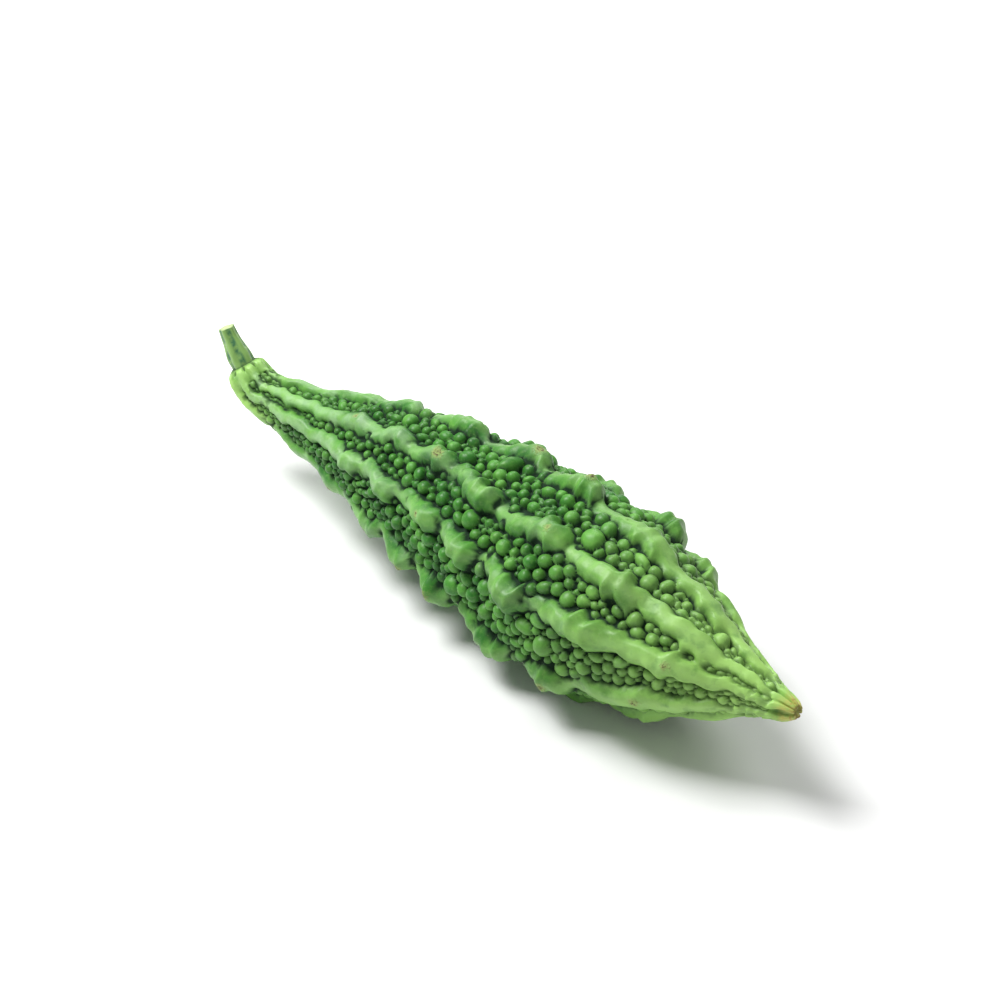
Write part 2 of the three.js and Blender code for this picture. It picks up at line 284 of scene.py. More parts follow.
@dataclass
class Ridges:
    """The eight ridges, drawn by the same rules and the same random numbers as the solids' ridges.

    Its paces and phases keep the waves along different crests from running in step.
    """

    form: GourdForm
    count: int = 8
    seed: int = 20
    rib_height: Curve = Curve(
        (0, 0.2), (8, 1.1), (30, 2.1), (50, 1.5), (70, 0.6), (140, 0.7), (158, 2.4), (172, 2.5),
        (186, 1.5), (196, 0.8), (200, 0.2),
    )
    half_width: Curve = Curve(
        (0, 1.3), (12, 2), (30, 2.6), (60, 3), (100, 3.6), (140, 3.8), (165, 3.3), (185, 2.2), (200, 1),
    )
    tooth_height: Curve = Curve(
        (30, 1.6), (50, 3.4), (75, 5), (105, 6.2), (140, 6.2), (160, 4.4), (180, 2.4),
    )
    tooth_scale: Curve = Curve((0, 0.6), (80, 1), (200, 1))
    off_even: Limits = (-0.11, 0.11)
    sway: Limits = (0.04, 0.08)
    sway_length: Limits = (15, 23)
    first_tooth_at: Limits = (30, 40)
    tooth_length: Limits = (17, 28)
    tooth_stature: Limits = (0.78, 1.08)
    tooth_slant: Limits = (-2.1, 3.9)
    tooth_swing: Limits = (-1.5, 1.5)
    tooth_spacing: Limits = (0.84, 1.04)
    last_tooth_at: float = 160
    stature_underneath: float = 0.93
    bluntness: float = 0.5
    crest_reach: float = 4.0
    crest_flat: float = 0.3
    section_power: Curve = Curve((0, 2.2), (45, 2), (75, 1.6), (120, 1.6), (150, 2.8), (200, 3))
    tooth_breadth: Curve = Curve((0, 0.6), (0.5, 0.95), (0.8, 1.3), (1, 1.15))
    foot_wave: float = 0.2
    foot_wave_length: float = 6.3
    ruffle_aside: float = 0.4
    ruffle_height: float = 0.08
    ruffle_length: float = 5.2
    flute_depth: float = 0.36
    flute_length: float = 3.7
    flute_wander: float = 0.6
    flute_wander_length: float = 4.3
    flute_narrowness: float = 1.6
    fluted_height: Limits = (1.8, 4.2)
    highest_under_warts: float = 1.5
    rib_wander: float = 0.55
    rib_swell: float = 0.24
    rib_wave_length: float = 13.0
    merging: float = 1.1
    swell_pace: float = 0.7
    ruffle_pace: float = 1.3
    wander_phase: float = 11.0
    swell_phase: float = 7.0
    ruffle_phases: Limits = (3.0, 5.0)
    foot_phase: float = 9.0
    flank_phase: float = 2.0
    crests: list[Crest] = field(init=False)

    def __post_init__(self) -> None:
        """Grows the crests."""
        random = seeded_random(self.seed)
        self.crests = [crest for k in range(self.count) for crest in self.grow(k, random)]

    def grow(self, number: int, random: Iterator[float]) -> Iterator[Crest]:
        """Grows one ridge: its rib, and the teeth over it.

        Args:
            number: Its number, counted round the fruit from the underside.
            random: The random numbers, which all ridges share.

        Returns:
            An iterator over its crests.
        """

        def draw(limits: Limits) -> float:
            """Draws a number between two limits."""
            return part_way(limits, next(random))

        underneath = number in (0, self.count - 1)
        middle = (number + 0.5) * TURN / self.count + (0 if underneath else draw(self.off_even))
        sway, wavelength = draw(self.sway), draw(self.sway_length)
        yield Crest(middle, sway, wavelength, 0, self.form.length)
        start = draw(self.first_tooth_at)
        while start < self.last_tooth_at:
            length = draw(self.tooth_length) * float(self.tooth_scale(start))
            stature = draw(self.tooth_stature) * (self.stature_underneath if underneath else 1)
            slant, swing = draw(self.tooth_slant), draw(self.tooth_swing)
            yield Crest(middle, sway, wavelength, start, length, stature, slant, swing)
            start += length * draw(self.tooth_spacing)

    @property
    def teeth(self) -> list[Crest]:
        """The crests that are teeth."""
        return [crest for crest in self.crests if crest.stature]

    def crest_height(self, crest: Crest, place: Array) -> Array:
        """Gives the height of a crest over the flesh.

        Args:
            crest: The crest.
            place: The places to read.

        Returns:
            One height for each place.
        """
        if not crest.stature:
            swell = wave(place, self.rib_wave_length, self.swell_phase * crest.middle, self.swell_pace)
            return self.rib_height(place) * (1 + self.rib_swell * swell)
        rise = np.abs(np.sin(math.pi * crest.share(place) ** crest.lean)) ** self.bluntness
        ruffle = wave(place, self.ruffle_length, self.ruffle_phases[1] * crest.start, self.ruffle_pace)
        return crest.stature * self.tooth_height(place) * rise * (1 + self.ruffle_height * ruffle)

    def crest_angle(self, crest: Crest, place: Array) -> Array:
        """Gives the angle that a crest runs at.

        Args:
            crest: The crest.
            place: The places to read.

        Returns:
            One angle for each place.
        """
        sway = crest.sway * np.sin((place - self.form.belly_at) / crest.wavelength)
        if crest.stature:
            share = crest.share(place)
            ruffle = self.ruffle_aside * wave(place, self.ruffle_length, self.ruffle_phases[0] * crest.start)
            aside = crest.slant * (share - 0.5) + crest.swing * np.sin(TURN * share) + ruffle
        else:
            aside = self.rib_wander * wave(place, self.rib_wave_length, self.wander_phase * crest.middle)
        return crest.middle + sway + aside / (self.form.flesh_radius(place) + self.crest_reach)

    def aside(self, crest: Crest, place: Array, angle: Array) -> Array:
        """Gives the distance over the skin from a crest, positive towards larger angles."""
        return turn_between(self.crest_angle(crest, place), angle) * self.form.girth_radius(place)

    def heights(self, place: Array, angle: Array, floor: float) -> Array:
        """Gives the height of the ridges over the flesh. A crest is flat along its top.

        Args:
            place: The places to read.
            angle: The angles to read.
            floor: The height of the valleys.

        Returns:
            One height for each place.
        """
        highest = np.full_like(place, floor)
        for crest in self.crests:
            on = crest.covers(place)
            here = place[on]
            aside = self.aside(crest, here, angle[on])
            crest_height = self.crest_height(crest, here)
            half = self.half_width(here) * self.breadth(crest, here, np.sign(aside), crest_height)
            section = 1 - ramp(np.abs(aside) / half, self.crest_flat, 1) ** self.section_power(here)
            crest_here = floor + (crest_height - floor) * section
            highest[on] = melted(highest[on], crest_here, self.merging * section)
        return highest

    def breadth(self, crest: Crest, place: Array, side: Array, height: Array) -> Array:
        """Gives how broad a crest's flank is. High flanks are fluted, and a tooth is broadest near its top.

        Args:
            crest: The crest.
            place: The places to read.
            side: 1 or -1 for the flank towards larger or smaller angles.
            height: The crest's height there.

        Returns:
            Shares of the ridge's half width.
        """
        phase = self.foot_phase * crest.middle + crest.start + np.where(side > 0, self.flank_phase, 0)
        foot = 1 + self.foot_wave * wave(place, self.foot_wave_length, phase)
        wander = self.flute_wander * np.sin(place / self.flute_wander_length + 2 * phase)
        ribs = np.abs(np.sin(math.pi * place / self.flute_length + phase + wander))
        groove = (1 - ribs) ** self.flute_narrowness
        flutes = 1 - self.flute_depth * groove * ramp(height, *self.fluted_height)
        return foot * flutes * (self.tooth_breadth(crest.share(place)) if crest.stature else 1)

    def room(self, place: Array, angle: Array) -> Array:
        """Gives the distance over the skin from the nearest crest that is too high to carry warts.

        Args:
            place: The places to read.
            angle: The angles to read.

        Returns:
            One distance for each place, from the crest's foot, below zero on it.
        """
        nearest = np.full_like(place, np.inf)
        for crest in self.crests:
            on = crest.covers(place) & (self.crest_height(crest, place) > self.highest_under_warts)
            room = np.abs(self.aside(crest, place[on], angle[on])) - self.half_width(place[on])
            nearest[on] = np.minimum(nearest[on], room)
        return nearest


@dataclass
class WartBed:
    """Where the warts sit: some large ones are thrown between the ridges, and others fill the gaps."""

    form: GourdForm
    ridges: Ridges
    seed: int = 7
    first_at: float = 8.0
    last_at: float = 193.0
    cell: float = 0.45
    widest_angle_radius: float = 22.0
    large: Limits = (2.2, 2.8)
    large_darts: int = 90
    middling: Limits = (1.15, 2.1)
    least: float = 0.8
    widest_gap: float = 5.0
    on_ridge: Curve = Curve((0, 0.6), (130, 0.6), (155, 0.8), (200, 0.8))
    crowding: Curve = Curve((0, 0.88), (35, 0.92), (60, 0.99), (130, 0.97), (150, 0.86), (200, 0.8))
    scale: Curve = Curve(
        (0, 0.6), (20, 0.7), (45, 0.8), (75, 0.92), (105, 1.02), (150, 1.12), (175, 0.85), (200, 0.5),
    )
    random: np.random.Generator = field(init=False)
    rows: Array = field(init=False)
    columns: Array = field(init=False)
    fit: Array = field(init=False)
    kept: list[tuple[float, float, float]] = field(default_factory=list, init=False)

    def __post_init__(self) -> None:
        """Lays a grid over the skin, and fills it with warts."""
        self.random = np.random.default_rng(self.seed)
        self.rows = np.arange(self.first_at, self.last_at, self.cell)
        self.columns = np.arange(-math.pi, math.pi, self.cell / self.widest_angle_radius)
        place, angle = np.meshgrid(self.rows, self.columns, indexing="ij")
        room = self.ridges.room(place.ravel(), angle.ravel()).reshape(place.shape)
        self.fit = np.minimum(room / (1 - self.on_ridge(place)), self.widest_gap)
        for _ in range(self.large_darts):
            row, column = (int(self.random.integers(count)) for count in self.fit.shape)
            radius = self.random.uniform(*self.large) * float(self.scale(self.rows[row]))
            if self.fit[row, column] >= radius:
                self.add(row, column, radius)
        self.fill()

    def fill(self) -> None:
        """Sets a wart in the widest gap, again and again, until no gap has room for another."""
        scales = self.scale(self.rows)
        while True:
            row, column = np.unravel_index((self.fit / scales[:, None]).argmax(), self.fit.shape)
            if self.fit[row, column] < self.least * scales[row]:
                return
            radius = min(self.fit[row, column], self.random.uniform(*self.middling) * scales[row])
            self.add(row, column, radius)

    def add(self, row: int, column: int, radius: float) -> None:
        """Sets a wart, and takes its room away from the gaps round it.

        Args:
            row: The grid row of its place.
            column: The grid column of its angle.
            radius: Its radius.
        """
        place, angle = self.rows[row], self.columns[column]
        self.kept.append((place, angle, radius))
        reach = radius + self.widest_gap
        rows = np.flatnonzero(np.abs(self.rows - place) < reach)
        turns = turn_between(angle, self.columns)
        columns = np.flatnonzero(np.abs(turns) * float(self.form.girth_radius(place)) < reach)
        ahead = (self.rows[rows] - place)[:, None]
        beside = turns[columns] * self.form.girth_radius(self.rows[rows])[:, None]
        left = np.hypot(ahead, beside) / self.crowding(self.rows[rows])[:, None] - radius
        window = np.ix_(rows, columns)
        self.fit[window] = np.minimum(self.fit[window], left)


@dataclass
class Bumps:
    """Bumps to be grown on the flesh, one a row: where each sits, how it is turned, and its half sizes."""

    centre: Array
    up: Array
    along: Array
    size: Array

    def __add__(self, other: Bumps) -> Bumps:
        """Puts two lots of bumps together."""
        return Bumps(*(np.vstack(pair) for pair in zip(vars(self).values(), vars(other).values())))


@dataclass
class WartShapes:
    """How a wart at its place is shaped: how far it stands out, and how much it is drawn out one way."""

    seed: int = 5
    lift: Curve = Curve((0, 0), (60, 0.28), (130, 0.3), (155, 0.08), (200, 0))
    flatness: Curve = Curve((0, 0.8), (60, 0.95), (130, 1), (155, 0.82), (200, 0.75))
    long_share: float = 0.22
    long: Limits = (1.1, 1.5)
    unevenness: float = 0.06
    leaning: float = 0.08

    def bumps(self, bed: WartBed) -> Bumps:
        """Turns the bed's places into bumps.

        Args:
            bed: Where the warts sit.

        Returns:
            One bump for each wart.
        """
        form = bed.form
        place, angle, radius = np.array(bed.kept).T
        random = np.random.default_rng(self.seed)
        count = len(place)
        up = form.outward(place, angle)
        forward = form.direction(place)
        turn = random.uniform(0, math.pi, count)[:, None]
        stretch = np.where(random.random(count) < self.long_share, random.uniform(*self.long, count), 1)
        uneven = 1 + strays(random, self.unevenness, (count, 3))
        shape = np.stack((stretch, 1 / np.sqrt(stretch), self.flatness(place)), axis=-1)
        height = form.flesh_radius(place) + self.lift(place) * radius
        return Bumps(
            centre=form.beside_axis(place, angle, height),
            up=unit(up + self.leaning * random.normal(size=(count, 3))),
            along=np.cos(turn) * forward + np.sin(turn) * np.cross(up, forward),
            size=radius[:, None] * shape * uneven,
        )


@dataclass
class Lobes:
    """The swollen lobes down both flanks of each tooth, which leave flutes between them."""

    ridges: Ridges
    seed: int = 3
    lowest_tooth: float = 2.6
    spacing: float = 3.6
    first_share: float = 0.3
    last_share: float = 0.95
    straying: float = 0.3
    off_crest: float = 0.5
    up_flank: float = 0.5
    down_flank: float = 0.42
    breadth: float = 0.6
    thickness: float = 1.3
    sunk: float = 0.45
    splay: float = 0.5
    unevenness: float = 0.2

    def bumps(self) -> Bumps:
        """Sets the lobes.

        Returns:
            One bump for each lobe.
        """
        random = np.random.default_rng(self.seed)
        rows = []
        for tooth in self.ridges.teeth:
            if self.ridges.crest_height(tooth, np.array([tooth.top]))[0] < self.lowest_tooth:
                continue
            run = (self.last_share - self.first_share) * tooth.length
            count = round(run / self.spacing)
            for side in (-1, 1):
                share = np.linspace(self.first_share, self.last_share, count)
                share = share + strays(random, self.straying, count) * run / count / tooth.length
                rows.append(self.flank(tooth, side, share, 1 + strays(random, self.unevenness, (count, 3))))
        return sum(rows[1:], rows[0])

    def flank(self, tooth: Crest, side: int, share: Array, uneven: Array) -> Bumps:
        """Sets the lobes on one flank of a tooth.

        Args:
            tooth: The tooth.
            side: 1 or -1 for the flank towards larger or smaller angles.
            share: How far along the tooth each lobe sits.
            uneven: What each lobe's sizes are multiplied by.

        Returns:
            One bump for each lobe.
        """
        form = self.ridges.form
        place = tooth.start + share * tooth.length
        rise = self.ridges.crest_height(tooth, place)
        half = self.ridges.half_width(place)
        off = side * self.off_crest * half / form.girth_radius(place)
        angle = self.ridges.crest_angle(tooth, place) + off
        out = form.outward(place, angle)
        forward = form.direction(place)
        across = -side * np.cross(out, forward)
        splay = (self.splay * (share - 0.5))[:, None] * forward
        down = unit(across * half[:, None] - out * rise[:, None] + splay * rise[:, None])
        up = unit(np.cross(np.cross(down, out), down))
        size = np.empty((len(place), 3))
        size[:, 0] = self.down_flank * np.hypot(rise, half)
        size[:, 1:] = self.breadth * self.spacing, self.thickness
        centre = form.beside_axis(place, angle, form.flesh_radius(place) + self.up_flank * rise)
        return Bumps(centre - self.sunk * up, up, down, size * uneven)


@dataclass
class Collar:
    """The end of the neck: a ring of rounded lobes under the stem, and a pale rib that clasps its base."""

    ridges: Ridges
    seed: int = 9
    place: float = 3.6
    count: int = 9
    size: tuple[float, float, float] = (3.3, 1.9, 1.35)
    sunk: float = 0.45
    straying: float = 0.5
    uneven_spacing: float = 0.15
    unevenness: float = 0.14
    clasp_angle: float = -1.3
    clasp_places: tuple[float, ...] = (1.2, 4.2, 7.4, 10.8, 14.4)
    clasp_size: tuple[float, float, float] = (3.4, 1.5, 1.7)

    def bumps(self) -> Bumps:
        """Sets the lobes and the rib.

        Returns:
            One bump for each lobe, and a row of them for the rib.
        """
        random = np.random.default_rng(self.seed)
        place = self.place + strays(random, self.straying, self.count)
        angle = (np.arange(self.count) + strays(random, self.uneven_spacing, self.count)) * TURN / self.count
        size = np.array(self.size) * (1 + strays(random, self.unevenness, (self.count, 3)))
        rib = np.array(self.clasp_places)
        clasp = self.row(rib, np.full(rib.shape, self.clasp_angle), np.tile(self.clasp_size, (len(rib), 1)))
        return self.row(place, angle, size) + clasp

    def row(self, place: Array, angle: Array, size: Array) -> Bumps:
        """Sets bumps that lie along the neck.

        Args:
            place: Their places along the axis.
            angle: Their angles round it.
            size: Their half sizes.

        Returns:
            The bumps.
        """
        form = self.ridges.form
        centre = form.beside_axis(place, angle, form.flesh_radius(place) - self.sunk)
        return Bumps(centre, form.outward(place, angle), form.direction(place), size)


class NodeSheet:
    """A node tree while it is being drawn, with the calls that materials and geometry share."""

    def __init__(self, tree: bpy.types.NodeTree) -> None:
        """Takes the tree to draw in."""
        self.tree = tree

    def made(self, kind: str, inputs: Inputs, output: int | str = 0, **settings: object) -> Socket:
        """Adds a node and feeds it.

        Args:
            kind: The node's type.
            inputs: A number, a colour or another node's output for each input, by its name or place.
            output: The name or place of the output that is wanted.
            settings: The node's properties.

        Returns:
            The output.
        """
        node = self.tree.nodes.new(kind)
        for name, value in settings.items():
            setattr(node, name, value)
        for name, value in inputs.items():
            if isinstance(value, Socket):
                self.tree.links.new(value, node.inputs[name])
            else:
                node.inputs[name].default_value = value
        return node.outputs[output]

    def end(self, kind: str, name: str, value: Socket) -> None:
        """Adds the node that the tree ends in."""
        self.tree.links.new(value, self.tree.nodes.new(kind).inputs[name])


@dataclass(frozen=True)
class Grain:
    """Soft noise, with the size of its largest spots in metres.

    Its detail is how many finer layers it has, and its roughness is how strong they are.
    """

    size: float
    detail: float = 3.0
    roughness: float = 0.55


class Sheet(NodeSheet):
    """One material's node sheet, with short calls for the nodes that every finish here uses."""

    def __init__(self, name: str) -> None:
        """Starts an empty sheet.

        Args:
            name: The material's name.
        """
        self.material = bpy.data.materials.new(name)
        self.material.use_nodes = True
        super().__init__(self.material.node_tree)
        self.tree.nodes.clear()

    def attribute(self, name: str) -> Socket:
        """Reads one of the mesh's own numbers."""
        return self.made("ShaderNodeAttribute", {}, "Fac", attribute_name=name)

    def cloud(self, grain: Grain) -> Socket:
        """Adds soft noise on the place on the piece.

        Args:
            grain: The noise.

        Returns:
            A number from 0 to 1.
        """
        inputs = {"Scale": 1 / grain.size, "Detail": grain.detail, "Roughness": grain.roughness}
        inputs["Vector"] = self.made("ShaderNodeTexCoord", {}, "Object")
        return self.made("ShaderNodeTexNoise", inputs, "Fac")

    def between(self, value: Socket, low: float, high: float, start: float = 0, end: float = 1) -> Socket:
        """Spreads the stretch of a value from low to high from start to end, and holds the ends."""
        return self.made("ShaderNodeMapRange", dict(enumerate((value, low, high, start, end))), clamp=True)

    def maths(self, operation: str, first: Socket, second: Socket) -> Socket:
        """Does a Math node's operation with two values."""
        return self.made("ShaderNodeMath", {0: first, 1: second}, operation=operation)

    def blend(self, factor: object, first: object, second: object, how: str = "MIX") -> Socket:
        """Mixes two colours, with as much of the second as the factor says."""
        inputs = {0: factor, 6: first, 7: second}
        return self.made("ShaderNodeMix", inputs, 2, data_type="RGBA", blend_type=how)

    def grey(self, level: Socket) -> Socket:
        """Makes a grey from a number."""
        return self.made("ShaderNodeCombineColor", dict.fromkeys(range(3), level))

    def dents(self, height: Socket, strength: float, depth: float, under: Socket | None = None) -> Socket:
        """Adds a bump.

        Args:
            height: The height, from 0 to 1.
            strength: How much of it shows.
            depth: What a height of 1 is, in metres.
            under: The normal of a coarser bump, if there is one.

        Returns:
            The bumped normal.
        """
        inputs = {"Height": height, "Strength": strength, "Distance": depth}
        if under is not None:
            inputs["Normal"] = under
        return self.made("ShaderNodeBump", inputs)

    def finish(self, **inputs: object) -> bpy.types.Material:
        """Ends the sheet in a Principled shader.

        Args:
            inputs: The shader's inputs by name, with _ for a space.

        Returns:
            The finished material.
        """
        named = {name.replace("_", " "): value for name, value in inputs.items()}
        self.end("ShaderNodeOutputMaterial", "Surface", self.made("ShaderNodeBsdfPrincipled", named))
        return self.material


@dataclass(frozen=True)
class SkinFinish:
    """The waxy green skin: pale at both ends and along its crests, with painted shade in its hollows.

    The edges of a thing are the two numbers that it starts and is complete at.
    """

    deep: Colour = (0.026, 0.15, 0.016, 1)
    middle: Colour = (0.058, 0.28, 0.025, 1)
    pale: Colour = (0.34, 0.61, 0.14, 1)
    # painted sheen: a whitish colour laid on the crests in place of the light that glances off them
    painted_sheen: Colour = (0.33, 0.52, 0.3, 1)
    # painted shade: the near black that the hollows between warts and ridges are darkened to
    painted_crease_shade: Colour = (0.003, 0.024, 0.006, 1)
    cork: Colour = (0.33, 0.42, 0.13, 1)
    husk: Colour = (0.6, 0.5, 0.13, 1)
    rust: Colour = (0.2, 0.11, 0.03, 1)
    speck: Colour = (0.09, 0.07, 0.03, 1)
    mottle: Grain = Grain(9 * MM, detail=4)
    patches: Grain = Grain(4.2 * MM)
    dust: Grain = Grain(1.1 * MM, detail=2, roughness=0.7)
    grit: Grain = Grain(0.6 * MM, roughness=0.7)
    withered: Grain = Grain(1.8 * MM, detail=4, roughness=0.65)
    most_of_cloud: Limits = (0.3, 0.7)
    mottle_edges: Limits = (0.35, 0.65)
    wart_shades: Limits = (0.86, 1.2)
    raggedness: Limits = (-0.12, 0.12)
    patch_edges: Limits = (0.55, 0.72)
    patch_strength: float = 0.45
    painted_sheen_edges: Limits = (0.3, 0.55)
    dust_edges: Limits = (0.5, 0.8)
    dust_strength: float = 0.22
    painted_shade_edges: Limits = (0.04, 0.72)
    grit_reach: Limits = (-0.25, 0.25)
    cork_edges: Limits = (0.15, 0.6)
    core_edges: Limits = (0.2, 0.6)
    speck_edges: Limits = (0.43, 0.58)
    withering: Limits = (0.45, 1.5)
    husk_edges: Limits = (0.15, 1)
    rust_edges: Limits = (0.85, 1.25)
    dry_strength: float = 0.85
    shine: Limits = (0.38, 0.5)
    matt_edges: Limits = (0.1, 0.5)
    matt: float = 0.85
    specular: float = 0.35
    pore_depth: float = 0.12 * MM
    pore_strength: float = 0.25
    cork_depth: float = 0.4 * MM
    cork_strength: float = 0.8

    def material(self) -> bpy.types.Material:
        """Builds the material.

        Returns:
            The material.
        """
        sheet = Sheet("gourd_skin")
        mottle = sheet.cloud(self.mottle)
        patches = sheet.cloud(self.patches)
        dust = sheet.cloud(self.dust)
        grit = sheet.cloud(self.grit)
        crease_shade_mask = sheet.attribute("painted_crease_shade")

        green = sheet.blend(sheet.between(mottle, *self.mottle_edges), self.deep, self.middle)
        wart = sheet.between(sheet.attribute("tint"), 0, 1, *self.wart_shades)
        green = sheet.blend(1, green, sheet.grey(wart), "MULTIPLY")
        ragged = sheet.between(mottle, *self.most_of_cloud, *self.raggedness)
        paleness = sheet.maths("ADD", sheet.attribute("paleness"), ragged)
        green = sheet.blend(sheet.between(paleness, 0, 1), green, self.pale)
        patchy = sheet.between(patches, *self.patch_edges, 0, self.patch_strength)
        green = sheet.blend(patchy, green, self.deep)
        # Painted sheen: a whitish colour laid along the crests in patches, standing in for light glancing off
        # them.
        painted_sheen_mask = sheet.maths("MULTIPLY", sheet.attribute("painted_sheen"), sheet.between(patches, *self.painted_sheen_edges))
        green = sheet.blend(painted_sheen_mask, green, self.painted_sheen)
        green = sheet.blend(sheet.between(dust, *self.dust_edges, 0, self.dust_strength), green, self.pale)
        # Painted shade: the creases and hollows are darkened almost to black, standing in for the shade in
        # them.
        green = sheet.blend(sheet.between(crease_shade_mask, *self.painted_shade_edges), green, self.painted_crease_shade)

        scar = sheet.attribute("scar")
        edge = sheet.maths("ADD", scar, sheet.between(grit, *self.most_of_cloud, *self.grit_reach))
        corky = sheet.between(edge, *self.cork_edges, 0, self.dry_strength)
        colour = sheet.blend(corky, green, self.cork)
        core = sheet.maths("MULTIPLY", sheet.between(scar, *self.core_edges), grit)
        colour = sheet.blend(sheet.between(core, *self.speck_edges), colour, self.speck)

        withered = sheet.between(sheet.cloud(self.withered), *self.mottle_edges, *self.withering)
        dried = sheet.maths("MULTIPLY", sheet.attribute("dried"), withered)
        colour = sheet.blend(sheet.between(dried, *self.husk_edges, 0, self.dry_strength), colour, self.husk)
        colour = sheet.blend(sheet.between(dried, *self.rust_edges), colour, self.rust)

        matt = sheet.maths("MAXIMUM", corky, sheet.between(crease_shade_mask, *self.matt_edges))
        shine = sheet.between(mottle, *self.most_of_cloud, *self.shine)
        pores = sheet.dents(dust, self.pore_strength, self.pore_depth)
        cracks = sheet.maths("MULTIPLY", corky, grit)
        return sheet.finish(
            Base_Color=colour,
            Roughness=sheet.maths("MAXIMUM", shine, sheet.between(matt, 0, 1, 0, self.matt)),
            Normal=sheet.dents(cracks, self.cork_strength, self.cork_depth, under=pores),
            Specular_IOR_Level=self.specular,
        )


@dataclass(frozen=True)
class StalkFinish:
    """The stem: pale green, with dark green streaks along it and a paler cut end."""

    pale: Colour = (0.23, 0.42, 0.11, 1)
    streak: Colour = (0.05, 0.17, 0.07, 1)
    cut: Colour = (0.5, 0.6, 0.28, 1)
    mottle: Grain = Grain(1.8 * MM)
    streak_edges: Limits = (0.35, 0.8)
    break_edges: Limits = (0.35, 0.6)
    most_of_cloud: Limits = (0.3, 0.7)
    shine: Limits = (0.42, 0.55)
    dent_depth: float = 0.2 * MM
    dent_strength: float = 0.3

    def material(self) -> bpy.types.Material:
        """Builds the material.

        Returns:
            The material.
        """
        sheet = Sheet("gourd_stalk")
        mottle = sheet.cloud(self.mottle)
        streaks = sheet.between(sheet.attribute("streak"), *self.streak_edges)
        dark = sheet.maths("MULTIPLY", streaks, sheet.between(mottle, *self.break_edges))
        colour = sheet.blend(dark, self.pale, self.streak)
        return sheet.finish(
            Base_Color=sheet.blend(sheet.attribute("cut"), colour, self.cut),
            Roughness=sheet.between(mottle, *self.most_of_cloud, *self.shine),
            Normal=sheet.dents(mottle, self.dent_strength, self.dent_depth),
        )


@dataclass(frozen=True)
class FloorFinish:
    """The plain pale floor."""

    paper: Colour = (0.86, 0.86, 0.86, 1)
    roughness: float = 0.9
    specular: float = 0.1

    def material(self) -> bpy.types.Material:
        """Builds the material."""
        inputs = {"Base_Color": self.paper, "Roughness": self.roughness, "Specular_IOR_Level": self.specular}
        return Sheet("pale_floor").finish(**inputs)


@dataclass(frozen=True)
class TreeInput:
    """One named input of the tree that raises the skin."""

    name: str
    socket: str
    value: object


class SkinTree(NodeSheet):
    """The Geometry Nodes tree that raises a grid of flesh to the skin, and makes the skin slightly lumpy."""

    OUTWARD = "outward"
    RELIEF = "relief"
    LUMP_DETAIL = 2.0
    SIZES = (
        TreeInput("Lump size", "NodeSocketFloat", 3.4 * MM),
        TreeInput("Lump height", "NodeSocketFloat", 0.28 * MM),
        TreeInput("Seed", "NodeSocketInt", 3),
    )

    def __init__(self, skin: bpy.types.Material) -> None:
        """Builds the tree.

        Args:
            skin: The material that the skin gets.
        """
        super().__init__(bpy.data.node_groups.new("raise_skin", "GeometryNodeTree"))
        interface = self.tree.interface
        interface.new_socket("Flesh", in_out="INPUT", socket_type="NodeSocketGeometry")
        interface.new_socket("Raised", in_out="OUTPUT", socket_type="NodeSocketGeometry")
        self.values: dict[str, object] = {}
        for entry in (*self.SIZES, TreeInput("Skin", "NodeSocketMaterial", skin)):
            socket = interface.new_socket(entry.name, in_out="INPUT", socket_type=entry.socket)
            self.values[socket.identifier] = entry.value
        self.wire()

    def attribute(self, name: str, data_type: str) -> Socket:
        """Reads one of the grid's numbers or vectors."""
        return self.made("GeometryNodeInputNamedAttribute", {"Name": name}, "Attribute", data_type=data_type)

    def moved_out(self, geometry: Socket, distance: Socket) -> Socket:
        """Moves every point away from the axis.

        Args:
            geometry: The points.
            distance: How far each of them moves.

        Returns:
            The moved points.
        """
        inputs = {"Vector": self.attribute(self.OUTWARD, "FLOAT_VECTOR"), "Scale": distance}
        offset = self.made("ShaderNodeVectorMath", inputs, "Vector", operation="SCALE")
        return self.made("GeometryNodeSetPosition", {"Geometry": geometry, "Offset": offset})

    def wire(self) -> None:
        """Links the nodes, from the grid of flesh to the finished skin."""
        start = self.tree.nodes.new("NodeGroupInput").outputs
        raised = self.moved_out(start["Flesh"], self.attribute(self.RELIEF, "FLOAT"))
        scale = self.made("ShaderNodeMath", {0: 1.0, 1: start["Lump size"]}, operation="DIVIDE")
        inputs = {"Scale": scale, "W": start["Seed"], "Detail": self.LUMP_DETAIL}
        lumps = self.made("ShaderNodeTexNoise", inputs, noise_dimensions="4D", normalize=False)
        height = self.made("ShaderNodeMath", {0: lumps, 1: start["Lump height"]}, operation="MULTIPLY")
        lumpy = self.made("GeometryNodeRealizeInstances", {"Geometry": self.moved_out(raised, height)})
        dressed = self.made("GeometryNodeSetMaterial", {"Geometry": lumpy, "Material": start["Skin"]})
        self.end("NodeGroupOutput", "Raised", dressed)

    def dress(self, carrier: Object) -> None:
        """Puts the tree on an object that carries a grid of flesh.

        Args:
            carrier: The object.
        """
        modifier = carrier.modifiers.new("raise", "NODES")
        modifier.node_group = self.tree
        for identifier, value in self.values.items():
            modifier[identifier] = value


def linked_object(name: str, mesh: Mesh) -> Object:
    """Puts a mesh in the scene, at the origin.

    Args:
        name: The object's name.
        mesh: Its mesh.

    Returns:
        The object.
    """
    made = bpy.data.objects.new(name, mesh)
    bpy.context.scene.collection.objects.link(made)
    return made


